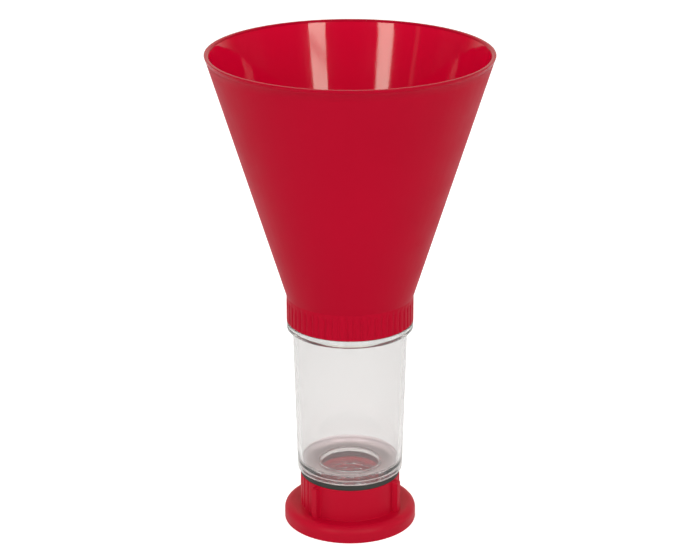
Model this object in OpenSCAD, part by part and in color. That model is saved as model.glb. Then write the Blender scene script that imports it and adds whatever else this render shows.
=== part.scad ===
// Filler funnel in three screwed pieces: a wide cone, a clear sight tube and a flanged adaptor.
// The frame has +Z up, with the origin on the axis at the underside of the adaptor's flange.

/* [Funnel] */
// Outer diameter of the funnel's mouth
mouth_d = 151; // [130:1:170]
// Height of the cone, from the top of its collar to the rim
cone_h = 132.8; // [100:0.2:160]
// Thickness of the cone's wall
cone_wall = 2.2; // [1.8:0.1:3]
// Outer diameter of the ribbed screw collar under the cone
collar_d = 68.5; // [67.5:0.1:72]
// Height of the screw collar
collar_h = 14.5; // [13:0.1:18]
// Number of grooves between the ribs of the collar
collar_grooves = 54; // [36:1:64]
// Depth of the grooves between the ribs of the collar
collar_groove_depth = 0.45; // [0.3:0.05:0.8]
// Diameter of the throat at the bottom of the cone
throat_d = 54.4; // [48:0.2:55]
// Thickness of the shoulder that presses on the funnel's seal
shoulder_t = 2.2; // [1.5:0.1:4]

/* [Sight tube] */
// Outer diameter of the tube just under its flange
tube_top_d = 62; // [60:0.2:64]
// Outer diameter of the tube at its floor
tube_bottom_d = 57.7; // [57:0.1:60]
// Height of the tube, from the gasket to the underside of its flange
tube_h = 82.4; // [60:0.2:120]
// Thickness of the tube's wall
tube_wall = 2.2; // [1.6:0.1:3]
// Thickness of the tube's floor at the hole
floor_t = 2.2; // [1.4:0.1:3]
// Rise of the floor from the hole to the wall, so that it drains
floor_rise = 3; // [0:0.1:5]
// Diameter of the hole in the tube's floor and down its spigot
outlet_d = 32; // [26:0.5:34]
// Height of the lip that stands on the floor around the hole
lip_h = 1.2; // [0.8:0.1:1.8]
// Width of that lip
lip_w = 1.1; // [0.8:0.1:1.6]
// Outer diameter of the flange that the funnel's collar stands on
tube_flange_d = 68.4; // [65:0.2:70]
// Thickness of that flange
tube_flange_t = 3.8; // [2.4:0.1:5]
// Height of the threaded neck above that flange
neck_h = 11.2; // [10:0.1:12.4]
// Bore of the threaded neck
neck_bore_d = 54.4; // [50:0.2:55]
// Wall of the neck under its thread
neck_wall = 2.4; // [2:0.1:2.6]
// Length of the threaded spigot under the floor
spigot_len = 18.6; // [14:0.2:19]
// Wall of the spigot under its thread
spigot_wall = 2.4; // [2:0.1:3]

/* [Threads] */
// Pitch of the thread between the funnel and the tube
neck_pitch = 4; // [3.5:0.1:4.5]
// Pitch of the thread between the tube and the adaptor
spigot_pitch = 3; // [2.6:0.1:3.4]
// Height of a thread's ridge
thread_depth = 1.1; // [0.8:0.05:1.2]
// Room between the crest of a thread and the wall that faces it
thread_room = 0.35; // [0.25:0.05:0.45]

/* [Seals] */
// Thickness of the gasket between the tube and the adaptor
gasket_t = 3.6; // [2.6:0.1:4.4]
// Width of the gasket's ring
gasket_w = 1.8; // [1.4:0.1:3.4]
// Thickness of the seal inside the funnel's collar
funnel_seal_t = 2.2; // [1.5:0.1:3]
// Thickness of the seal in the adaptor's socket
neck_seal_t = 2; // [1.2:0.1:2.6]
// Width of the seal in the adaptor's socket
neck_seal_w = 6; // [3:0.2:9]

/* [Adaptor] */
// Diameter of the adaptor's flange
flange_d = 72.6; // [70:0.2:80]
// Thickness of the adaptor's flange
flange_t = 9; // [8.4:0.1:12]
// Radius of the flange's upper edge
flange_round = 4; // [2:0.1:5.5]
// Outer diameter of the adaptor's collar
grip_d = 54.8; // [53.6:0.1:56]
// Height of the adaptor's collar above its flange
grip_h = 18.3; // [18:0.1:24]
// Height of the lugs that stand on the collar
lug_proud = 2.9; // [0.5:0.1:4]
// Width of a lug at its top
lug_w = 3.3; // [2:0.1:6]
// Number of grooves in each of the two ribbed sides of the collar
grip_grooves = 6; // [2:1:6]
// Depth of those grooves
grip_groove_depth = 0.5; // [0.2:0.05:0.8]
// Diameter of the socket that a filler neck goes into
socket_d = 62; // [58:0.2:64]
// Depth of the socket, from the flange's underside to the face of its seal
socket_depth = 4.2; // [3.6:0.1:4.8]
// Thickness of the web between the socket and the spigot's chamber
web_t = 4.4; // [3:0.1:5]

/* [Hidden] */
$fn = 120;

red = [0.71, 0.05, 0.16];
clear_grey = [0.86, 0.87, 0.88, 0.45];
rubber_black = [0.17, 0.18, 0.17];

// Clearances and small edges
seal_room = 0.3;
collar_gap = 0.2;
edge = 0.5;
edge_steps = 5;
round_steps = 8;

// Heights of the stacked pieces
adaptor_h = flange_t + grip_h;
tube_z = adaptor_h + gasket_t;
floor_z = tube_z + floor_t;
tube_flange_z = tube_z + tube_h;
neck_z = tube_flange_z + tube_flange_t;
neck_top_z = neck_z + neck_h;
shoulder_z = neck_top_z + funnel_seal_t;
throat_z = shoulder_z + shoulder_t;
collar_z = neck_z + collar_gap;
cone_z = collar_z + collar_h;
rim_z = cone_z + cone_h;
spigot_z = tube_z - spigot_len;
web_z = socket_depth + neck_seal_t;
chamber_z = web_z + web_t;

// Radii of the two screwed joints
outlet_r = outlet_d / 2;
spigot_core_r = outlet_r + spigot_wall;
spigot_crest_r = spigot_core_r + thread_depth;
chamber_r = spigot_crest_r + thread_room;
chamber_crest_r = spigot_core_r + thread_room;
neck_bore_r = neck_bore_d / 2;
neck_core_r = neck_bore_r + neck_wall;
neck_crest_r = neck_core_r + thread_depth;
collar_bore_r = neck_crest_r + thread_room;
collar_crest_r = neck_core_r + thread_room;

// Radii of the seals and of what they sit on
gasket_r = grip_d / 2;
gasket_in_r = gasket_r - gasket_w;
socket_r = socket_d / 2;
seal_seat_step = 1.6;
seal_seat_r = socket_r - seal_seat_step;
seal_side_room = 0.2;
tube_corner = 0.6;
floor_fillet = 2;

// Shape of the threads: shares of the pitch, steps in a turn and how the ends run out.
// A thread inside a wall is turned half round, so that its ridge runs midway between the ridges it meets.
half_turn = 180;
thread_root_share = 0.55;
thread_crest_share = 0.25;
thread_steps = 40;
thread_fade = 5;
thread_sink = 0.5;
thread_end_sink = 0.15;
thread_end_room = 0.6;

// Cone: the outer wall leaves the collar's top corner and is tangent to the round of the rim
collar_r = collar_d / 2;
mouth_r = mouth_d / 2;
rim_round = cone_wall * 0.14;
rim_edge = cone_wall * 0.7;
rim_centre = [mouth_r - rim_round, rim_z - rim_round];
cone_run = rim_centre - [collar_r, cone_z];
cone_angle = atan2(cone_run.x, cone_run.y) + asin(rim_round / norm(cone_run));
wall_across = cone_wall / cos(cone_angle);
lip_centre_z = rim_z - rim_edge;
lip_centre_r = cone_outer_r(lip_centre_z) - (cone_wall - rim_edge) / cos(cone_angle);
drain_angle = 32;
drain_run = 1 / tan(drain_angle);
drain_z = (cone_inner_r(0) - throat_d / 2 + throat_z * drain_run) / (drain_run - tan(cone_angle));

// Pattern of the adaptor's collar: two ribbed sides, each between a pair of lugs
grip_sides = [-169.2, 10.8];
lug_offset = 38.7;
lug_flare = 0.5;
grip_groove_step = 9;
grip_groove_r = 1.1;
collar_groove_r = 1.2;
groove_end = 1.8;
flange_foot_round = 0.4;
grip_fillet = 0.3;

function cone_outer_r(z) = collar_r + (z - cone_z) * tan(cone_angle);
function cone_inner_r(z) = cone_outer_r(z) - wall_across;
function arc(centre, r, from, to, steps) =
    [for (i = [0:steps]) let (a = from + (to - from) * i / steps) centre + r * [cos(a), sin(a)]];

// One helical ridge on a wall at root_r between two heights, with ends that run out into that wall
module thread_ridge(root_r, crest_r, pitch, low, high) {
    side = sign(crest_r - root_r);
    root_half = pitch * thread_root_share / 2;
    crest_half = pitch * thread_crest_share / 2;
    first_z = low + root_half + thread_end_room;
    last_z = high - root_half - thread_end_room;
    steps = floor((last_z - first_z) / pitch * thread_steps);
    sunk_r = root_r - side * thread_sink;
    end_r = root_r - side * thread_end_sink;
    sections = [for (i = [0:steps])
        let (a = 360 * i / thread_steps)
        let (z = first_z + pitch * i / thread_steps)
        let (rise = min(1, i / thread_fade, (steps - i) / thread_fade))
        let (r = end_r + (crest_r - end_r) * rise)
        for (p = [[sunk_r, -root_half], [r, -crest_half], [r, crest_half], [sunk_r, root_half]])
            [p.x * cos(a), p.x * sin(a), z + side * p.y]];
    sides = [for (i = [0:steps - 1], j = [0:3])
        let (here = 4 * i, next = 4 * i + 4, k = (j + 1) % 4)
        each [[here + j, here + k, next + k], [here + j, next + k, next + j]]];
    caps = [[3, 2, 1, 0], [for (j = [0:3]) 4 * steps + j]];
    polyhedron(sections, concat(sides, caps));
}

// Upright scallops that leave ribs between them on a round wall
module scallops(wall_r, depth, cutter_r, angles, low, high) {
    for (a = angles)
        rotate(a)
            translate([wall_r - depth + cutter_r, 0, low])
                cylinder(r = cutter_r, h = high - low, $fn = 32);
}

// Flat ring with broken edges
module seal_ring(inner_r, outer_r, z, height) {
    break_edge = min(0.3, height / 6);
    rotate_extrude()
        polygon([
            [inner_r, z], [outer_r - break_edge, z], [outer_r, z + break_edge],
            [outer_r, z + height - break_edge], [outer_r - break_edge, z + height], [inner_r, z + height]]);
}

module funnel_body() {
    top = arc(rim_centre, rim_round, -cone_angle, 90, round_steps);
    lip = arc([lip_centre_r, lip_centre_z], rim_edge, 90, 180 - cone_angle, edge_steps);
    rotate_extrude()
        polygon(concat(
            [[collar_bore_r + edge, collar_z], [collar_r - edge, collar_z], [collar_r, collar_z + edge],
             [collar_r, cone_z]],
            top, lip,
            [[cone_inner_r(drain_z), drain_z], [throat_d / 2, throat_z], [throat_d / 2, shoulder_z],
             [collar_bore_r, shoulder_z], [collar_bore_r, collar_z + edge]]));
}

module funnel() {
    color(red) {
        difference() {
            funnel_body();
            scallops(collar_r, collar_groove_depth, collar_groove_r,
                [for (i = [0:collar_grooves - 1]) 360 * i / collar_grooves],
                collar_z - edge, cone_z - groove_end);
        }
        rotate(half_turn)
            thread_ridge(collar_bore_r, collar_crest_r, neck_pitch, collar_z, neck_top_z);
    }
}

module funnel_seal() {
    color(rubber_black)
        seal_ring(neck_bore_r + seal_room, collar_bore_r - seal_room, neck_top_z, funnel_seal_t);
}

// The floor is a shallow dish of even thickness, and the wall goes on below it as a foot on the gasket
module tube_body() {
    top_r = tube_top_d / 2;
    bottom_r = tube_bottom_d / 2;
    flange_r = tube_flange_d / 2;
    draft = (top_r - bottom_r) / tube_h;
    inner_top_z = tube_flange_z - (top_r - tube_wall - neck_bore_r);
    inner_top_r = top_r - tube_wall - draft * (tube_flange_z - inner_top_z);
    inner_bottom_r = bottom_r - tube_wall + draft * (floor_t + floor_rise);
    lip_out_r = outlet_r + lip_w;
    floor_slope = atan(floor_rise / (inner_bottom_r - lip_out_r));
    foot_r = min(gasket_in_r, bottom_r - tube_wall);
    hollow_z = tube_z + (foot_r - spigot_core_r) * tan(floor_slope);
    hollow = floor_rise > 0 ? [[foot_r, hollow_z], [foot_r, tube_z]] : [];
    fillet_r = inner_bottom_r - floor_fillet;
    fillet_z = floor_z + (fillet_r - lip_out_r) * tan(floor_slope) + floor_fillet / cos(floor_slope);
    corner = arc([bottom_r - tube_corner, tube_z + tube_corner], tube_corner, -90, 0, round_steps);
    fillet = arc([fillet_r, fillet_z], floor_fillet, 0, floor_slope - 90, round_steps);
    lip = arc([outlet_r + lip_w / 2, floor_z + lip_h - lip_w / 2], lip_w / 2, 0, 180, round_steps);
    rotate_extrude()
        polygon(concat(
            [[outlet_r, spigot_z], [spigot_core_r - edge, spigot_z], [spigot_core_r, spigot_z + edge],
             [spigot_core_r, tube_z]],
            hollow, corner,
            [[top_r, tube_flange_z], [flange_r - edge, tube_flange_z], [flange_r, tube_flange_z + edge],
             [flange_r, neck_z - edge], [flange_r - edge, neck_z], [neck_core_r, neck_z],
             [neck_core_r, neck_top_z - edge], [neck_core_r - edge, neck_top_z], [neck_bore_r, neck_top_z],
             [neck_bore_r, tube_flange_z], [inner_top_r, inner_top_z]],
            fillet, [[lip_out_r, floor_z]], lip));
}

module sight_tube() {
    color(clear_grey) {
        tube_body();
        thread_ridge(neck_core_r, neck_crest_r, neck_pitch, collar_z, neck_top_z);
        thread_ridge(spigot_core_r, spigot_crest_r, spigot_pitch, spigot_z, adaptor_h);
    }
}

module base_gasket() {
    color(rubber_black)
        seal_ring(gasket_in_r, gasket_r, adaptor_h, gasket_t);
}

module adaptor_body() {
    flange_r = flange_d / 2;
    grip_r = grip_d / 2;
    top_round = arc([flange_r - flange_round, flange_t - flange_round], flange_round, 0, 90, round_steps);
    foot = arc([flange_r - flange_foot_round, flange_foot_round], flange_foot_round, -90, 0, edge_steps);
    fillet = arc([grip_r + grip_fillet, flange_t + grip_fillet], grip_fillet, 270, 180, edge_steps);
    rotate_extrude()
        polygon(concat(
            [[outlet_r, web_z], [seal_seat_r, web_z], [seal_seat_r, socket_depth], [socket_r, socket_depth],
             [socket_r, 0]],
            foot, top_round, fillet,
            [[grip_r, adaptor_h - edge], [grip_r - edge, adaptor_h], [outlet_r, adaptor_h]]));
}

module lug(angle) {
    grip_r = grip_d / 2;
    base_r = grip_r - edge;
    top_r = grip_r + lug_proud;
    rotate(angle)
        translate([0, 0, flange_t - edge])
            linear_extrude(grip_h)
                polygon([
                    [base_r, -lug_w / 2 - lug_flare], [top_r, -lug_w / 2],
                    [top_r, lug_w / 2], [base_r, lug_w / 2 + lug_flare]]);
}

module adaptor() {
    middle = (grip_grooves - 1) / 2;
    color(red) {
        difference() {
            union() {
                adaptor_body();
                for (side = grip_sides, offset = [-lug_offset, lug_offset])
                    lug(side + offset);
            }
            for (side = grip_sides)
                scallops(grip_d / 2, grip_groove_depth, grip_groove_r,
                    [for (i = [0:grip_grooves - 1]) side + (i - middle) * grip_groove_step],
                    flange_t + grip_fillet, adaptor_h + edge);
            translate([0, 0, chamber_z])
                cylinder(r = chamber_r, h = adaptor_h);
            translate([0, 0, adaptor_h - edge])
                cylinder(r1 = chamber_r, r2 = chamber_r + 2 * edge, h = 2 * edge);
        }
        rotate(half_turn)
            thread_ridge(chamber_r, chamber_crest_r, spigot_pitch, spigot_z, adaptor_h - edge);
    }
}

module neck_seal() {
    outer_r = seal_seat_r - seal_side_room;
    color(rubber_black)
        seal_ring(outer_r - neck_seal_w, outer_r, socket_depth, neck_seal_t);
}

funnel();
funnel_seal();
sight_tube();
base_gasket();
adaptor();
neck_seal();
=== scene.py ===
"""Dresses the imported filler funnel: turned mouldings and rings, their finishes, and a plain studio."""

import math

import bpy
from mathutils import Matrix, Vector


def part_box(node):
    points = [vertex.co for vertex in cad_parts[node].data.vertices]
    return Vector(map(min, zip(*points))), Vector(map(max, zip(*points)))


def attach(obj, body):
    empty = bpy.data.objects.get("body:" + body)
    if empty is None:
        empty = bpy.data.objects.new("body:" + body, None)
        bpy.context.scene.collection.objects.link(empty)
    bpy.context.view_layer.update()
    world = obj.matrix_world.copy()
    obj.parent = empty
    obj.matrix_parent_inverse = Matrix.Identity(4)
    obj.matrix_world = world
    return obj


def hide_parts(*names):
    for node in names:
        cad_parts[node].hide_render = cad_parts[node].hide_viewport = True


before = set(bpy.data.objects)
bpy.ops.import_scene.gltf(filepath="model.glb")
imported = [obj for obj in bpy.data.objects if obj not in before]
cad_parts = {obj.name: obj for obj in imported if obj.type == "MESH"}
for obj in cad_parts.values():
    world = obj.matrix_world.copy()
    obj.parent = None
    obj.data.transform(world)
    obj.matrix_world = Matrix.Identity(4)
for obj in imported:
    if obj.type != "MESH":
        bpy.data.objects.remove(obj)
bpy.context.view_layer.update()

MM = 0.001
TURN = 2 * math.pi


def radius(node):
    low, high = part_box(node)
    return (high.x - low.x) / 2 / MM


def heights(node):
    low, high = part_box(node)
    return low.z / MM, high.z / MM


# Heights and outer radii in millimetres, from the frame
COLLAR_Z, RIM_Z = heights("funnel")
SPIGOT_Z, NECK_TOP_Z = heights("sight_tube")
GASKET_Z, TUBE_Z = heights("base_gasket")
SEAL_Z, SHOULDER_Z = heights("funnel_seal")
SOCKET_DEPTH, WEB_Z = heights("neck_seal")
MOUTH_R = radius("funnel")
TUBE_FLANGE_R = radius("sight_tube")
GRIP_R = radius("base_gasket")
FLANGE_R = radius("adaptor")
FUNNEL_SEAL_R = radius("funnel_seal")
NECK_SEAL_R = radius("neck_seal")

# Sizes in millimetres that the frame's boxes don't give
CONE_WALL = 2.2
COLLAR_R = 34.25
COLLAR_H = 14.5
COLLAR_FILLET = 0.6
COLLAR_GROOVES = 54
COLLAR_GROOVE_DEPTH = 0.45
COLLAR_GROOVE_R = 1.2
COLLAR_GROOVE_END = 1.8
COLLAR_GROOVE_FADE = 0.7
THROAT_R = 27.2
THROAT_FILLET = 1.0
SHOULDER_T = 2.2
RIM_BAND = 2.0
RIM_BAND_STEP = 0.1
RIM_ROUND_SHARE = 0.14
RIM_EDGE_SHARE = 0.7
DRAIN_ANGLE = math.radians(32)
DRAIN_FILLET = 8.0
TUBE_TOP_R = 31.0
TUBE_BOTTOM_R = 28.85
TUBE_WALL = 2.2
TUBE_CORNER = 0.6
TUBE_FLANGE_T = 3.8
TUBE_FLANGE_FILLET = 0.4
TUBE_INNER_FILLET = 1.0
NECK_H = 11.2
NECK_WALL = 2.4
FLOOR_T = 2.2
FLOOR_RISE = 3.0
FLOOR_FILLET = 2.0
OUTLET_R = 16.0
LIP_H = 1.2
LIP_W = 1.1
LIP_ROUND_SHARE = 0.48
SPIGOT_WALL = 2.4
GASKET_W = 1.8
SEAL_ROOM = 0.3
AIR_FILM = 0.06
NECK_SEAL_W = 6.0
FLANGE_T = 9.0
FLANGE_ROUND = 4.0
FLANGE_FOOT = 0.4
GRIP_FILLET = 0.3
GRIP_GROOVES = 6
GRIP_GROOVE_STEP = 9.0
GRIP_GROOVE_DEPTH = 0.5
GRIP_GROOVE_R = 1.1
GRIP_SIDES = (-169.2, 10.8)
LUG_OFFSET = 38.7
LUG_PROUD = 2.9
LUG_W = 3.3
LUG_FLARE = 0.5
LUG_EDGE = 0.5
SOCKET_R = 31.0
SEAL_SEAT_STEP = 1.6
WEB_T = 4.4
CHAMBER_FILLET = 0.4
NECK_PITCH = 4.0
SPIGOT_PITCH = 3.0
THREAD_DEPTH = 1.1
THREAD_ROOM = 0.35
THREAD_ROOT_SHARE = 0.55
THREAD_CREST_SHARE = 0.25
THREAD_END_ROOM = 0.6
THREAD_FADE = 0.125
EDGE = 0.5
SMALL_EDGE = 0.3
TIGHT_EDGE = 0.2

# Worked out from those
CONE_Z = COLLAR_Z + COLLAR_H
NECK_Z = NECK_TOP_Z - NECK_H
TUBE_FLANGE_Z = NECK_Z - TUBE_FLANGE_T
FLOOR_Z = TUBE_Z + FLOOR_T
FLOOR_EDGE_Z = FLOOR_Z + FLOOR_RISE
LIP_R = OUTLET_R + LIP_W
LIP_ROUND = LIP_W * LIP_ROUND_SHARE
THROAT_Z = SHOULDER_Z + SHOULDER_T
CHAMBER_Z = WEB_Z + WEB_T
SPIGOT_CORE_R = OUTLET_R + SPIGOT_WALL
SPIGOT_CREST_R = SPIGOT_CORE_R + THREAD_DEPTH
CHAMBER_R = SPIGOT_CREST_R + THREAD_ROOM
CHAMBER_CREST_R = SPIGOT_CORE_R + THREAD_ROOM
NECK_BORE_R = THROAT_R
NECK_CORE_R = NECK_BORE_R + NECK_WALL
NECK_CREST_R = NECK_CORE_R + THREAD_DEPTH
COLLAR_BORE_R = NECK_CREST_R + THREAD_ROOM
COLLAR_CREST_R = NECK_CORE_R + THREAD_ROOM
FOOT_R = GRIP_R - GASKET_W
SEAL_SEAT_R = SOCKET_R - SEAL_SEAT_STEP
RIM_ROUND = CONE_WALL * RIM_ROUND_SHARE
RIM_EDGE = CONE_WALL * RIM_EDGE_SHARE
RIM_RUN = Vector((MOUTH_R - RIM_ROUND - COLLAR_R, RIM_Z - RIM_ROUND - CONE_Z))
CONE_ANGLE = math.atan2(RIM_RUN.x, RIM_RUN.y) + math.asin(RIM_ROUND / RIM_RUN.length)
WALL_ACROSS = CONE_WALL / math.cos(CONE_ANGLE)
RIM_BAND_Z = RIM_Z - RIM_BAND
RIM_STEP_Z = RIM_BAND_Z - RIM_BAND_STEP


def cone_outer_r(z):
    return COLLAR_R + (z - CONE_Z) * math.tan(CONE_ANGLE)


def cone_inner_r(z):
    return cone_outer_r(z) - WALL_ACROSS


def smooth(t):
    t = min(1.0, max(0.0, t))
    return t * t * (3 - 2 * t)


# Turned shapes: a closed outline of corners (radius, height, fillet, step of the side that follows)
ARC_STEP = math.radians(9)
STRAIGHT = math.radians(1)
SHARP_ANGLE = math.radians(50)
COARSE = 5.0
MEDIUM = 1.0
FINE = 0.24
NEAR = 0.01
TUBE_SIDES = 288
ADAPTOR_SIDES = 480
RING_SIDES = 240


def rounded(corners):
    """The outline's points, with each corner replaced by its fillet and each side cut into steps."""
    count = len(corners)
    arcs = []
    for i in range(count):
        r, z, fillet, _ = corners[i]
        here = Vector((r, z))
        back = Vector(corners[i - 1][:2]) - here
        ahead = Vector(corners[(i + 1) % count][:2]) - here
        turn = math.pi - back.angle(ahead)
        if fillet == 0 or turn < STRAIGHT:
            arcs.append([here])
            continue
        reach = fillet * math.tan(turn / 2)
        start = here + back.normalized() * reach
        middle = here + (back.normalized() + ahead.normalized()).normalized() * fillet / math.cos(turn / 2)
        sweep = (start - middle).angle_signed(here + ahead.normalized() * reach - middle)
        steps = max(2, round(abs(sweep) / ARC_STEP))
        first = start - middle
        arc = []
        for s in range(steps + 1):
            a = -sweep * s / steps
            arc.append(middle + Vector((first.x * math.cos(a) - first.y * math.sin(a),
                                        first.x * math.sin(a) + first.y * math.cos(a))))
        arcs.append(arc)
    points = []
    for i in range(count):
        points.extend(arcs[i])
        start = arcs[i][-1]
        end = arcs[(i + 1) % count][0]
        cuts = math.ceil((end - start).length / corners[i][3])
        points.extend(start.lerp(end, c / cuts) for c in range(1, cuts))
    return points


def turned(name, corners, angles, shape=None):
    """A ring turned round the axis. shape(r, z, angle) gives the radius with ribs, lugs or threads."""
    outline = rounded(corners)
    rows = len(outline)
    verts = []
    for angle in angles:
        for p in outline:
            r = shape(p.x, p.y, angle) if shape else p.x
            verts.append((r * math.cos(angle) * MM, r * math.sin(angle) * MM, p.y * MM))
    faces = []
    for i in range(len(angles)):
        here = i * rows
        there = (i + 1) % len(angles) * rows
        for j in range(rows):
            k = (j + 1) % rows
            faces.append((here + j, there + j, there + k, here + k))
    mesh = bpy.data.meshes.new(name)
    mesh.from_pydata(verts, [], faces)
    mesh.shade_smooth()
    mesh.set_sharp_from_angle(angle=SHARP_ANGLE)
    piece = bpy.data.objects.new(name, mesh)
    bpy.context.scene.collection.objects.link(piece)
    return piece


def evenly(count):
    return [TURN * i / count for i in range(count)]


def on_wall(r, wall_r):
    return abs(r - wall_r) < NEAR


def thread(root_r, crest_r, pitch, low, high, start):
    """Radius of a wall at root_r that carries one helical ridge, which starts at the angle start."""
    root_half = pitch * THREAD_ROOT_SHARE / 2
    crest_half = pitch * THREAD_CREST_SHARE / 2
    first = low + root_half + THREAD_END_ROOM
    last = high - root_half - THREAD_END_ROOM
    fade = pitch * THREAD_FADE

    def wall(z, angle):
        base = first + pitch * (((angle - start) / TURN) % 1.0)
        near = base + pitch * round((z - base) / pitch)
        rise = 0.0
        for middle in (near - pitch, near, near + pitch):
            if first <= middle <= last:
                ends = smooth((middle - first) / fade) * smooth((last - middle) / fade)
                rise = max(rise, ends * smooth((root_half - abs(z - middle)) / (root_half - crest_half)))
        return root_r + (crest_r - root_r) * rise

    return wall


def scallop(wall_r, depth, cutter_r, offset):
    """Radius of a round wall at an angle offset from the middle of an upright scallop."""
    centre = wall_r - depth + cutter_r
    side = centre * math.sin(offset)
    if abs(offset) > math.pi / 2 or abs(side) >= cutter_r:
        return wall_r
    return min(wall_r, centre * math.cos(offset) - math.sqrt(cutter_r ** 2 - side ** 2))


def turn_between(a, b):
    """The angle from b to a, between minus and plus half a turn."""
    return (a - b + math.pi) % TURN - math.pi


# Funnel: ribbed collar, cone and throat
GROOVE_CUTS = (0.36, 0.7, 0.94, 1.12)


def funnel_piece():
    drain_run = 1 / math.tan(DRAIN_ANGLE)
    drain_z = (cone_inner_r(0) - THROAT_R + THROAT_Z * drain_run) / (drain_run - math.tan(CONE_ANGLE))
    rib = TURN / COLLAR_GROOVES
    half_groove = math.sqrt(COLLAR_GROOVE_R ** 2 - (COLLAR_GROOVE_R - COLLAR_GROOVE_DEPTH) ** 2) / COLLAR_R
    across = [-cut for cut in reversed(GROOVE_CUTS)] + [0.0] + list(GROOVE_CUTS)
    angles = [i * rib + s * half_groove for i in range(COLLAR_GROOVES) for s in across]
    inner = thread(COLLAR_BORE_R, COLLAR_CREST_R, NECK_PITCH, COLLAR_Z, NECK_TOP_Z, math.pi)

    def shape(r, z, angle):
        if z < NECK_TOP_Z and on_wall(r, COLLAR_BORE_R):
            return inner(z, angle)
        if z < CONE_Z and r > COLLAR_BORE_R + EDGE:
            offset = (angle / rib - round(angle / rib)) * rib
            ends = smooth((CONE_Z - COLLAR_GROOVE_END - z) / COLLAR_GROOVE_FADE)
            cut = COLLAR_R - scallop(COLLAR_R, COLLAR_GROOVE_DEPTH, COLLAR_GROOVE_R, offset)
            return min(r, COLLAR_R - cut * ends)
        return r

    corners = [
        (COLLAR_BORE_R, COLLAR_Z, EDGE, MEDIUM),
        (COLLAR_R, COLLAR_Z, EDGE, MEDIUM),
        (COLLAR_R, CONE_Z, COLLAR_FILLET, COARSE),
        (cone_outer_r(RIM_STEP_Z) - RIM_BAND_STEP, RIM_STEP_Z, 0.0, MEDIUM),
        (cone_outer_r(RIM_BAND_Z), RIM_BAND_Z, 0.0, MEDIUM),
        (cone_outer_r(RIM_Z), RIM_Z, RIM_ROUND, MEDIUM),
        (cone_inner_r(RIM_Z), RIM_Z, RIM_EDGE, COARSE),
        (cone_inner_r(drain_z), drain_z, DRAIN_FILLET, MEDIUM),
        (THROAT_R, THROAT_Z, THROAT_FILLET, MEDIUM),
        (THROAT_R, SHOULDER_Z, SMALL_EDGE, MEDIUM),
        (COLLAR_BORE_R, SHOULDER_Z, SMALL_EDGE, FINE),
    ]
    return turned("funnel_moulding", corners, angles, shape)


# Sight tube: threaded spigot, dished floor with a lip and a foot, drafted wall, flange and threaded neck
def tube_piece():
    draft = (TUBE_TOP_R - TUBE_BOTTOM_R) / (TUBE_FLANGE_Z - TUBE_Z)
    inner_top_z = TUBE_FLANGE_Z - (TUBE_TOP_R - TUBE_WALL - NECK_BORE_R)
    inner_top_r = TUBE_TOP_R - TUBE_WALL - draft * (TUBE_FLANGE_Z - inner_top_z)
    inner_bottom_r = TUBE_BOTTOM_R - TUBE_WALL + draft * (FLOOR_T + FLOOR_RISE)
    floor_slope = FLOOR_RISE / (inner_bottom_r - OUTLET_R - LIP_W)
    hollow_z = TUBE_Z + (FOOT_R - SPIGOT_CORE_R) * floor_slope
    spigot = thread(SPIGOT_CORE_R, SPIGOT_CREST_R, SPIGOT_PITCH, SPIGOT_Z, GASKET_Z, 0.0)
    neck = thread(NECK_CORE_R, NECK_CREST_R, NECK_PITCH, COLLAR_Z, NECK_TOP_Z, 0.0)

    def shape(r, z, angle):
        if z < TUBE_Z and on_wall(r, SPIGOT_CORE_R):
            return spigot(z, angle)
        if z > NECK_Z and on_wall(r, NECK_CORE_R):
            return neck(z, angle)
        return r

    corners = [
        (OUTLET_R, SPIGOT_Z, EDGE, MEDIUM),
        (SPIGOT_CORE_R, SPIGOT_Z, EDGE, FINE),
        (SPIGOT_CORE_R, TUBE_Z, TIGHT_EDGE, MEDIUM),
        (FOOT_R, hollow_z, EDGE, MEDIUM),
        (FOOT_R, TUBE_Z, TIGHT_EDGE, MEDIUM),
        (TUBE_BOTTOM_R, TUBE_Z, TUBE_CORNER, COARSE),
        (TUBE_TOP_R, TUBE_FLANGE_Z, TUBE_FLANGE_FILLET, MEDIUM),
        (TUBE_FLANGE_R, TUBE_FLANGE_Z, SMALL_EDGE, MEDIUM),
        (TUBE_FLANGE_R, NECK_Z, EDGE, MEDIUM),
        (NECK_CORE_R, NECK_Z, TIGHT_EDGE, FINE),
        (NECK_CORE_R, NECK_TOP_Z, EDGE, MEDIUM),
        (NECK_BORE_R, NECK_TOP_Z, EDGE, MEDIUM),
        (NECK_BORE_R, TUBE_FLANGE_Z, TUBE_INNER_FILLET, MEDIUM),
        (inner_top_r, inner_top_z, TUBE_INNER_FILLET, COARSE),
        (inner_bottom_r, FLOOR_EDGE_Z, FLOOR_FILLET, MEDIUM),
        (LIP_R, FLOOR_Z, TIGHT_EDGE, MEDIUM),
        (LIP_R, FLOOR_Z + LIP_H, LIP_ROUND, MEDIUM),
        (OUTLET_R, FLOOR_Z + LIP_H, LIP_ROUND, MEDIUM),
    ]
    return turned("sight_tube_moulding", corners, evenly(TUBE_SIDES), shape)


# Adaptor: round-edged flange, collar with two ribbed sides between lugs, threaded chamber and socket
FLANK_STEPS = 6
ANGLE_ROOM = math.radians(0.1)


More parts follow.
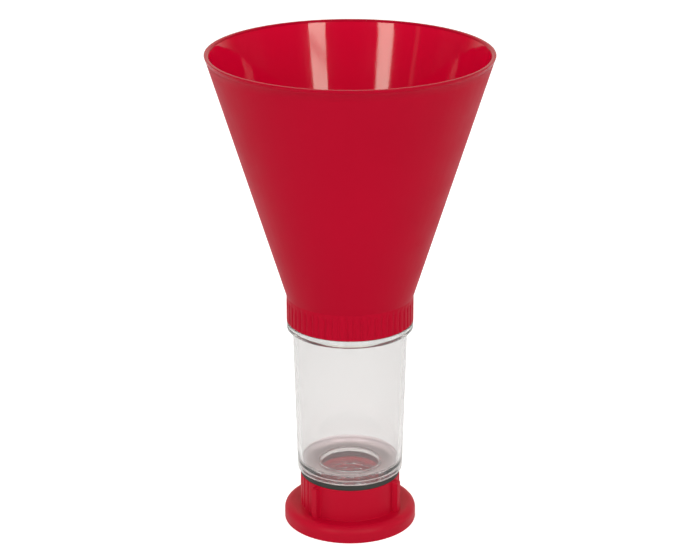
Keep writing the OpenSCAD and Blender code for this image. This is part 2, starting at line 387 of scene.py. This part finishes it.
def adaptor_piece():
    chamber = thread(CHAMBER_R, CHAMBER_CREST_R, SPIGOT_PITCH, SPIGOT_Z, GASKET_Z - EDGE, math.pi)
    middle = (GRIP_GROOVES - 1) / 2
    grooves = [math.radians(side + (i - middle) * GRIP_GROOVE_STEP)
               for side in GRIP_SIDES for i in range(GRIP_GROOVES)]
    lugs = [math.radians(side + offset) for side in GRIP_SIDES for offset in (-LUG_OFFSET, LUG_OFFSET)]
    lug_r = GRIP_R + LUG_PROUD
    lug_top = GASKET_Z - EDGE
    flank = LUG_FLARE / (LUG_PROUD + EDGE)
    flank_start = math.atan(LUG_W / 2 / lug_r)
    flank_end = (LUG_W / 2 + LUG_PROUD * flank) / GRIP_R
    flank_step = (flank_end - flank_start) / FLANK_STEPS
    flank_cuts = [flank_start + flank_step * i for i in range(-1, FLANK_STEPS + 2)]
    extra = [(a + side * cut) % TURN for a in lugs for cut in flank_cuts for side in (-1, 1)]
    plain = [a for a in evenly(ADAPTOR_SIDES) if min(abs(turn_between(a, e)) for e in extra) > ANGLE_ROOM]
    flange_flat = FLANGE_R - FLANGE_ROUND - GRIP_R

    def lug_rise(angle):
        beside = min(abs(turn_between(angle, a)) for a in lugs)
        if beside <= flank_start:
            return lug_r / math.cos(beside) - GRIP_R
        edge_r = (LUG_W / 2 + lug_r * flank) / (math.sin(beside) + flank * math.cos(beside))
        return max(0.0, edge_r - GRIP_R)

    def shape(r, z, angle):
        if z < GASKET_Z and on_wall(r, CHAMBER_R):
            return chamber(z, angle)
        if z < FLANGE_T - NEAR or r < GRIP_R - EDGE or r > GRIP_R + flange_flat:
            return r
        proud = lug_rise(angle) * smooth((lug_top - z) / LUG_EDGE)
        if r > GRIP_R:
            return r + proud * (1 - (r - GRIP_R) / flange_flat)
        nearest = min((turn_between(angle, g) for g in grooves), key=abs)
        grooved = scallop(GRIP_R, GRIP_GROOVE_DEPTH, GRIP_GROOVE_R, nearest)
        cut = (GRIP_R - grooved) * smooth((z - FLANGE_T - GRIP_FILLET / 2) / GRIP_FILLET)
        return r - cut + proud

    corners = [
        (OUTLET_R, WEB_Z, SMALL_EDGE, MEDIUM),
        (SEAL_SEAT_R, WEB_Z, TIGHT_EDGE, MEDIUM),
        (SEAL_SEAT_R, SOCKET_DEPTH, TIGHT_EDGE, MEDIUM),
        (SOCKET_R, SOCKET_DEPTH, TIGHT_EDGE, MEDIUM),
        (SOCKET_R, 0.0, 0.0, MEDIUM),
        (FLANGE_R, 0.0, FLANGE_FOOT, MEDIUM),
        (FLANGE_R, FLANGE_T, FLANGE_ROUND, MEDIUM),
        (GRIP_R, FLANGE_T, GRIP_FILLET, MEDIUM),
        (GRIP_R, lug_top - LUG_EDGE, 0.0, FINE),
        (GRIP_R, GASKET_Z, EDGE, MEDIUM),
        (CHAMBER_R, GASKET_Z, EDGE, FINE),
        (CHAMBER_R, CHAMBER_Z, CHAMBER_FILLET, MEDIUM),
        (OUTLET_R, CHAMBER_Z, CHAMBER_FILLET, MEDIUM),
    ]
    return turned("adaptor_moulding", corners, sorted(extra + plain), shape)


# Rings: the gasket and the two seals
def ring_piece(name, inner_r, outer_r, low, high, fillet):
    corners = [
        (inner_r, low, fillet, MEDIUM),
        (outer_r, low, fillet, MEDIUM),
        (outer_r, high, fillet, MEDIUM),
        (inner_r, high, fillet, MEDIUM),
    ]
    return turned(name, corners, evenly(RING_SIDES))


# Materials: linear tones, then roughness ranges, then mould textures as (scale, depth in metres)
RED_TONES = ((0.442, 0.0006, 0.0190), (0.418, 0.0004, 0.0175))
# Inside the cone: painted light, a lighter red than the outside of the same moulding
INNER_LIT_TONES = ((0.650, 0.0010, 0.0300), (0.630, 0.0008, 0.0285))
# Adaptor red: painted light, lighter than the funnel's red to make up for less light near the floor
FOOT_LIT_TONES = ((0.482, 0.0010, 0.0200), (0.458, 0.0008, 0.0185))
# Top inside the gasket: painted shade, a near black red where the clear tube casts no shadow
SHADED_TONES = ((0.075, 0.014, 0.016), (0.055, 0.011, 0.013))
# Chamber red: painted shade, darker than the moulding's red where the clear tube casts no shadow
CHAMBER_SHADE_TONES = ((0.33, 0.0050, 0.013), (0.27, 0.0040, 0.011))
CLEAR_TONES = ((0.93, 0.925, 0.925), (0.91, 0.903, 0.902))
MATT_TONES = ((0.71, 0.55, 0.575), (0.67, 0.52, 0.545))
RUBBER_TONES = ((0.022, 0.024, 0.021), (0.034, 0.036, 0.032))
SATIN = (0.42, 0.50)
GLOSS = (0.05, 0.09)
RIM_GLOSS = (0.18, 0.24)
CHAMBER_GLOSS = (0.10, 0.18)
CLEAR_GLOSS = (0.0, 0.003)
CLEAR_MATT = (0.40, 0.48)
RUBBER_MATT = (0.5, 0.68)
MOULD_TEXTURE = (1600, 0.00003)
POLISHED_TEXTURE = (300, 0.000004)
CLEAR_TEXTURE = (70, 0.000002)
RUBBER_TEXTURE = (1500, 0.00006)
NOISE_MIDDLE = (0.3, 0.7)
CLEAR_TRANSMISSION = 0.975
CLEAR_IOR = 1.49
CLEAR_ABSORBS = (0.5, 0.48, 0.48, 1)
CLEAR_DENSITY = 16


def new_material(name):
    """A node material with its shader, and functions that add a node and link two sockets."""
    made = bpy.data.materials.new(name)
    made.use_nodes = True
    tree = made.node_tree
    shader = tree.nodes["Principled BSDF"]

    def add(kind, **values):
        node = tree.nodes.new(kind)
        for key, value in values.items():
            node.inputs[key.replace("_", " ")].default_value = value
        return node

    return made, shader, add, tree.links.new


def grain(add, link, place, scale, detail):
    """A noise over the piece, in its own metres."""
    noise = add("ShaderNodeTexNoise", Scale=scale, Detail=detail)
    link(place.outputs["Object"], noise.inputs["Vector"])
    return noise.outputs["Fac"]


def ranged(add, link, source, low, high):
    """The noise's middle range mapped to low and high."""
    least, most = NOISE_MIDDLE
    mapped = add("ShaderNodeMapRange", From_Min=least, From_Max=most, To_Min=low, To_Max=high)
    link(source, mapped.inputs["Value"])
    return mapped.outputs["Result"]


def two_tone(add, link, factor, first, second):
    """A colour between two fixed tones."""
    mixed = add("ShaderNodeMix")
    mixed.data_type = "RGBA"
    mixed.inputs["A"].default_value = (*first, 1)
    mixed.inputs["B"].default_value = (*second, 1)
    link(factor, mixed.inputs["Factor"])
    return mixed.outputs["Result"]


def blend(add, link, kind, factor, first, second):
    """A value or colour between two others that vary."""
    mixed = add("ShaderNodeMix")
    mixed.data_type = kind
    link(factor, mixed.inputs["Factor"])
    link(first, mixed.inputs["A"])
    link(second, mixed.inputs["B"])
    return mixed.outputs["Result"]


def bumped(add, link, height, strength, depth):
    bump = add("ShaderNodeBump", Strength=strength, Distance=depth)
    link(height, bump.inputs["Height"])
    return bump.outputs["Normal"]


def plastic(name, tones, rough, specular, texture):
    """Moulded plastic: faint flow tones, uneven gloss and the fine texture of its mould."""
    made, shader, add, link = new_material(name)
    place = add("ShaderNodeTexCoord")
    texture_scale, texture_depth = texture
    flow = grain(add, link, place, scale=14, detail=3)
    link(two_tone(add, link, ranged(add, link, flow, 0, 1), *tones), shader.inputs["Base Color"])
    wear = grain(add, link, place, scale=60, detail=4)
    link(ranged(add, link, wear, *rough), shader.inputs["Roughness"])
    relief = grain(add, link, place, texture_scale, detail=2)
    link(bumped(add, link, relief, strength=0.5, depth=texture_depth), shader.inputs["Normal"])
    shader.inputs["Specular IOR Level"].default_value = specular
    return made


def clear_plastic():
    """Clear moulding: slightly uneven polish, the long waves of its flow, and a floor that is matt."""
    made, shader, add, link = new_material("clear_plastic")
    place = add("ShaderNodeTexCoord")
    matt = add("ShaderNodeAttribute")
    matt.attribute_name = "matt"
    texture_scale, texture_depth = CLEAR_TEXTURE
    haze = grain(add, link, place, scale=45, detail=3)
    polish = ranged(add, link, haze, *CLEAR_GLOSS)
    frost = ranged(add, link, haze, *CLEAR_MATT)
    link(blend(add, link, "FLOAT", matt.outputs["Fac"], polish, frost), shader.inputs["Roughness"])
    tint = ranged(add, link, grain(add, link, place, scale=9, detail=2), 0, 1)
    clear = two_tone(add, link, tint, *CLEAR_TONES)
    frosted = two_tone(add, link, tint, *MATT_TONES)
    link(blend(add, link, "RGBA", matt.outputs["Fac"], clear, frosted), shader.inputs["Base Color"])
    waves = grain(add, link, place, texture_scale, detail=1)
    link(bumped(add, link, waves, strength=0.2, depth=texture_depth), shader.inputs["Normal"])
    shader.inputs["Transmission Weight"].default_value = CLEAR_TRANSMISSION
    shader.inputs["IOR"].default_value = CLEAR_IOR
    body = add("ShaderNodeVolumeAbsorption", Color=CLEAR_ABSORBS, Density=CLEAR_DENSITY)
    link(body.outputs["Volume"], made.node_tree.nodes["Material Output"].inputs["Volume"])
    return made


def rubber():
    """Black rubber: dusty tones and a fine matt skin."""
    made, shader, add, link = new_material("black_rubber")
    place = add("ShaderNodeTexCoord")
    texture_scale, texture_depth = RUBBER_TEXTURE
    dust = grain(add, link, place, scale=90, detail=5)
    link(two_tone(add, link, ranged(add, link, dust, 0, 1), *RUBBER_TONES), shader.inputs["Base Color"])
    link(ranged(add, link, dust, *RUBBER_MATT), shader.inputs["Roughness"])
    skin = grain(add, link, place, texture_scale, detail=3)
    link(bumped(add, link, skin, strength=0.4, depth=texture_depth), shader.inputs["Normal"])
    shader.inputs["Specular IOR Level"].default_value = 0.35
    return made


# Pieces, each with its body, node and materials
RIM_TOP_SHARE = 0.7
LEVEL_NORMAL = 0.3


def dress(piece, body, nodes, slot, *materials):
    for made in materials:
        piece.data.materials.append(made)
    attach(piece, body)
    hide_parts(*nodes)


def placed_faces(piece):
    """Each face of the piece, with its distance from the axis and its height in millimetres."""
    for face in piece.data.polygons:
        yield face, Vector(face.center[:2]).length / MM, face.center.z / MM


satin_red = plastic("satin_red_plastic", RED_TONES, SATIN, 0.07, MOULD_TEXTURE)
gloss_lit_red = plastic("gloss_lit_red_plastic", INNER_LIT_TONES, GLOSS, 0.5, POLISHED_TEXTURE)
rim_red = plastic("rim_red_plastic", RED_TONES, RIM_GLOSS, 0.06, POLISHED_TEXTURE)
foot_lit_red = plastic("foot_lit_red_plastic", FOOT_LIT_TONES, SATIN, 0.13, MOULD_TEXTURE)
shaded_red = plastic("shaded_red_plastic", SHADED_TONES, SATIN, 0.06, MOULD_TEXTURE)
chamber_shade_red = plastic("chamber_shade_red_plastic", CHAMBER_SHADE_TONES, CHAMBER_GLOSS, 0.4, POLISHED_TEXTURE)
black_rubber = rubber()

# Funnel: satin outside, glossy inside the cone in a lighter red (painted light), and a smoother rim
funnel = funnel_piece()
dress(funnel, "funnel", ["funnel"], "red_plastic", satin_red, gloss_lit_red, rim_red)
rim_top_z = RIM_Z - RIM_EDGE * RIM_TOP_SHARE
for face, out, up in placed_faces(funnel):
    inside_cone = up > SHOULDER_Z and out < cone_outer_r(up) - WALL_ACROSS / 2
    if inside_cone and up < rim_top_z:
        face.material_index = 1
    elif up > RIM_STEP_Z:
        face.material_index = 2

# Sight tube: clear, with the top and the underside of its floor matt
tube = tube_piece()
tube.visible_shadow = False
dress(tube, "tube", ["sight_tube"], "clear_plastic", clear_plastic())
matt_faces = tube.data.attributes.new("matt", "FLOAT", "FACE")
for face, out, up in placed_faces(tube):
    in_floor = TUBE_Z - AIR_FILM < up < FLOOR_EDGE_Z + FLOOR_FILLET
    edge_r = FOOT_R if up < FLOOR_Z else TUBE_BOTTOM_R - TUBE_WALL / 2
    is_matt = in_floor and abs(face.normal.z) > LEVEL_NORMAL and LIP_R < out < edge_r
    matt_faces.data[face.index].value = 1.0 if is_matt else 0.0

# Adaptor: a lighter satin red (painted light), a chamber in a darker red (painted shade) and a near black
# top inside the gasket (painted shade)
adaptor = adaptor_piece()
dress(adaptor, "adaptor", ["adaptor"], "red_plastic", foot_lit_red, chamber_shade_red, shaded_red)
for face, out, up in placed_faces(adaptor):
    # The top inside the gasket gets the near black red: painted shade
    if up > GASKET_Z - EDGE and out < FOOT_R:
        face.material_index = 2
    # The chamber's faces get the darker red: painted shade inside the hollow
    elif up > CHAMBER_Z - EDGE and out < CHAMBER_R + EDGE:
        face.material_index = 1

# Rings: the gasket stops a film of air short of the tube
dress(ring_piece("base_gasket_ring", FOOT_R, GRIP_R, GASKET_Z, TUBE_Z - AIR_FILM, EDGE),
      "gasket", ["base_gasket"], "black_rubber", black_rubber)
dress(ring_piece("funnel_seal_ring", NECK_BORE_R + SEAL_ROOM, FUNNEL_SEAL_R, SEAL_Z, SHOULDER_Z, SMALL_EDGE),
      "seal", ["funnel_seal"], "black_rubber", black_rubber)
dress(ring_piece("neck_seal_ring", NECK_SEAL_R - NECK_SEAL_W, NECK_SEAL_R, SOCKET_DEPTH, WEB_Z, SMALL_EDGE),
      "adaptor", ["neck_seal"], "black_rubber", black_rubber)


# Stage: a wide white floor that glows where it is seen and still takes the object's shadow
FLOOR_R = 4.0
FLOOR_SIDES = 96
FLOOR_GLOW = 0.65
FLOOR_SHINE = 0.30
FLOOR_TONE = 0.7


def floor_disc():
    mesh = bpy.data.meshes.new("floor")
    ring = [(FLOOR_R * math.cos(a), FLOOR_R * math.sin(a), 0) for a in evenly(FLOOR_SIDES)]
    mesh.from_pydata(ring, [], [range(FLOOR_SIDES)])
    disc = bpy.data.objects.new("floor", mesh)
    bpy.context.scene.collection.objects.link(disc)
    made, shader, add, link = new_material("white_floor")
    rays = add("ShaderNodeLightPath").outputs
    mirrored = add("ShaderNodeMath")
    mirrored.operation = "MAXIMUM"
    link(rays["Is Glossy Ray"], mirrored.inputs[0])
    link(rays["Is Transmission Ray"], mirrored.inputs[1])
    shine = add("ShaderNodeMath")
    shine.operation = "MULTIPLY"
    shine.inputs[1].default_value = FLOOR_SHINE
    link(mirrored.outputs[0], shine.inputs[0])
    glow = add("ShaderNodeMath")
    glow.operation = "MULTIPLY_ADD"
    glow.inputs[1].default_value = FLOOR_GLOW
    link(rays["Is Camera Ray"], glow.inputs[0])
    link(shine.outputs[0], glow.inputs[2])
    link(glow.outputs[0], shader.inputs["Emission Strength"])
    shader.inputs["Emission Color"].default_value = (1, 1, 1, 1)
    shader.inputs["Base Color"].default_value = (FLOOR_TONE, FLOOR_TONE, FLOOR_TONE, 1)
    shader.inputs["Roughness"].default_value = 1.0
    shader.inputs["Specular IOR Level"].default_value = 0.0
    mesh.materials.append(made)


floor_disc()

# Light: upright strips in front, soft fill all round, and a room that is dark in front and white behind
LIGHT_AIM = Vector((0, 0, 0.2))
STRIP_DISTANCE = 1.6
STRIP_RADIANCE = 7.6
STRIP_TONE = (0.92, 1.0, 0.86)
SOFT_DISTANCE = 1.5
SOFT_SIZE = 0.8
OVERHEAD_SIZE = 0.9
WHITE = (1, 1, 1)
ROOM_FRONT = 0.05
ROOM_BACK = 1.02
ROOM_FADE_START = 0.35
ROOM_FADE_END = 0.9
ROOM_TONE = (1.0, 0.98, 0.86, 1)


def lamp(name, azimuth, elevation, distance, size, radiance, tone, reflects, lift=0.0):
    """An area lamp aimed at the object, then lifted in its own plane. Azimuth 0 is in front, 90 right."""
    width, height = size
    data = bpy.data.lights.new(name, "AREA")
    data.shape = "RECTANGLE"
    data.size = width
    data.size_y = height
    data.energy = radiance * math.pi * width * height
    data.color = tone
    lit = bpy.data.objects.new(name, data)
    a = math.radians(azimuth)
    e = math.radians(elevation)
    away = Vector((math.sin(a) * math.cos(e), -math.cos(a) * math.cos(e), math.sin(e)))
    facing = (-away).to_track_quat("-Z", "Y")
    lit.location = LIGHT_AIM + away * distance + facing @ Vector((0, lift, 0))
    lit.rotation_euler = facing.to_euler()
    lit.visible_glossy = reflects
    lit.visible_diffuse = not reflects
    lit.visible_transmission = not reflects
    lit.visible_camera = False
    bpy.context.scene.collection.objects.link(lit)


def strip(name, azimuth, elevation, size, radiance, lift=0.0):
    """A lamp that only shows as a reflection."""
    lamp(name, azimuth, elevation, STRIP_DISTANCE, size, radiance, STRIP_TONE, True, lift)


def soft_box(name, azimuth, elevation, size, radiance):
    """A lamp that lights the object and doesn't show as a reflection."""
    lamp(name, azimuth, elevation, SOFT_DISTANCE, (size, size), radiance, WHITE, False)


def soft_pair(name, azimuth, elevation, radiance):
    soft_box(f"{name}_left", -azimuth, elevation, SOFT_SIZE, radiance)
    soft_box(f"{name}_right", azimuth, elevation, SOFT_SIZE, radiance)


strip("strip_right_top", 30.4, 21, (0.418, 0.365), STRIP_RADIANCE, lift=0.2175)
strip("strip_right_foot", 30.4, 21, (0.418, 0.422), STRIP_RADIANCE, lift=-0.189)
strip("strip_left", -33.0, 21, (0.35, 0.8), STRIP_RADIANCE)
strip("strip_faint", -62.5, 17, (0.13, 0.8), radiance=0.3)
soft_box("overhead", 0, 85, OVERHEAD_SIZE, radiance=1.6)
soft_pair("front_low", 30, 8, radiance=2.6)
soft_pair("front_high", 30, 38, radiance=3.2)
soft_pair("side_low", 100, 8, radiance=2.94)
soft_pair("side_high", 100, 38, radiance=1.1)
soft_pair("back_low", 150, 8, radiance=1.0)


def studio_room():
    room = bpy.data.worlds.new("studio_room")
    bpy.context.scene.world = room
    room.use_nodes = True
    tree = room.node_tree
    background = tree.nodes["Background"]
    place = tree.nodes.new("ShaderNodeTexCoord")
    split = tree.nodes.new("ShaderNodeSeparateXYZ")
    tree.links.new(place.outputs["Generated"], split.inputs[0])
    shade = tree.nodes.new("ShaderNodeMapRange")
    shade.interpolation_type = "SMOOTHSTEP"
    shade.inputs["From Min"].default_value = ROOM_FADE_START
    shade.inputs["From Max"].default_value = ROOM_FADE_END
    shade.inputs["To Min"].default_value = ROOM_FRONT
    shade.inputs["To Max"].default_value = ROOM_BACK
    tree.links.new(split.outputs["Y"], shade.inputs["Value"])
    tree.links.new(shade.outputs["Result"], background.inputs["Strength"])
    background.inputs["Color"].default_value = ROOM_TONE


studio_room()

# Camera, fitted to the photograph: its place in metres, its dip, and the lens for a 36 mm sensor
PHOTO_W = 700
PHOTO_H = 560
SENSOR = 36.0
FOCAL_PX = 2119.1
AXIS_X_PX = 350.05
AXIS_Y_PX = 275.96
CAMERA_PLACE = (0, -1.06712, 0.53307)
CAMERA_DIP_DEG = 20.142

camera_data = bpy.data.cameras.new("camera")
camera_data.sensor_width = SENSOR
camera_data.lens = FOCAL_PX * SENSOR / PHOTO_W
camera_data.shift_x = (PHOTO_W / 2 - AXIS_X_PX) / PHOTO_W
camera_data.shift_y = (AXIS_Y_PX - PHOTO_H / 2) / PHOTO_W
camera = bpy.data.objects.new("camera", camera_data)
camera.location = CAMERA_PLACE
camera.rotation_euler = (math.radians(90 - CAMERA_DIP_DEG), 0, 0)
bpy.context.scene.collection.objects.link(camera)
bpy.context.scene.camera = camera

bpy.context.scene.view_settings.view_transform = "Standard"
